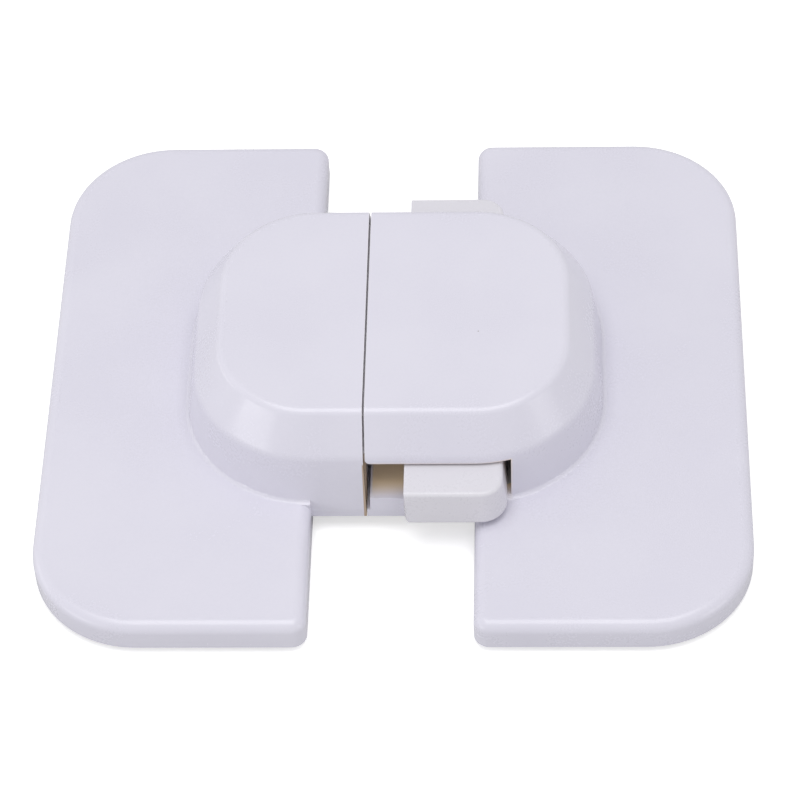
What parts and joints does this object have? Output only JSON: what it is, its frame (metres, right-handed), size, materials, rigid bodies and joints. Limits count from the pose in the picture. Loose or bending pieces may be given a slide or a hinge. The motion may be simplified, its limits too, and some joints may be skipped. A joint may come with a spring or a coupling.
{
  "type": "cabinet safety lock",
  "caption": "Two-part stick-on cabinet safety lock: flat wings with a split domed housing, joined by slide bolts worked from finger tabs at front and rear.",
  "frame": {"origin": "middle of the lock on the plane of the pads' sticking faces", "axes": "+X across the seam from the keeper half to the bolt half, +Y from front to rear, +Z away from the doors"},
  "size_m": [0.085, 0.0776, 0.0164],
  "materials": {
    "shell_white": "glossy moulded white",
    "base_white": "satin moulded white",
    "bolt_white": "glossy moulded white",
    "pad_foam": "closed-cell adhesive foam",
    "screw_steel": "zinc plated",
    "spring_steel": "bright spring strip"
  },
  "bodies": {
    "keeper_half": {"left_shell": "shell_white", "left_base": "base_white", "left_base_screws": "screw_steel", "left_pad": "pad_foam", "strike_insert": "bolt_white"},
    "bolt_half": {"right_shell": "shell_white", "right_base": "base_white", "right_base_screws": "screw_steel", "right_pad": "pad_foam", "front_detent_spring": "spring_steel", "rear_detent_spring": "spring_steel"},
    "front_bolt": {"front_bolt": "bolt_white"},
    "rear_bolt": {"rear_bolt": "bolt_white"}
  },
  "joints": [
    {"name": "half_lift", "type": "slide", "parent": "keeper_half", "child": "bolt_half", "axis": [0, 0, 1], "range_m": [0, 0.02]},
    {"name": "front_bolt_slide", "type": "slide", "parent": "bolt_half", "child": "front_bolt", "axis": [-1, 0, 0], "range_m": [0, 0.0042], "deforming": ["front_detent_spring"]},
    {"name": "rear_bolt_slide", "type": "slide", "parent": "bolt_half", "child": "rear_bolt", "axis": [-1, 0, 0], "range_m": [0, 0.0042], "deforming": ["rear_detent_spring"]}
  ]
}
